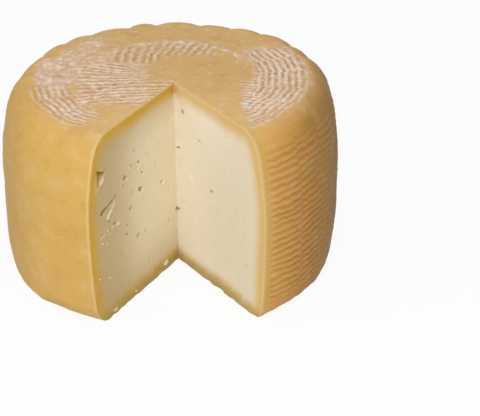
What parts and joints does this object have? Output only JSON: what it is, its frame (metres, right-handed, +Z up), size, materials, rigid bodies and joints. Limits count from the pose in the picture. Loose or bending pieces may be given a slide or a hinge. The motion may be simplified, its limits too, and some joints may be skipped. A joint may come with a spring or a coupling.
{
  "type": "pecorino cheese wheel with a cut notch",
  "caption": "Cheese wheel with a basket-woven rind, a bulging heel and a flat base, and a deep V notch where a wedge was cut out.",
  "frame": {"origin": "on the wheel's axis, on the plane of its flat base", "axes": "+Z up along the wheel's axis, the V notch opens towards -Y, +X to the right of the notch seen from the front"},
  "size_m": [0.2, 0.1882, 0.118],
  "materials": {
    "cheese": "golden tan rind, matt with a faint waxy sheen, and pale cream paste on the two cut faces"
  },
  "bodies": {
    "root": {"pecorino_wheel": "cheese"}
  },
  "joints": []
}
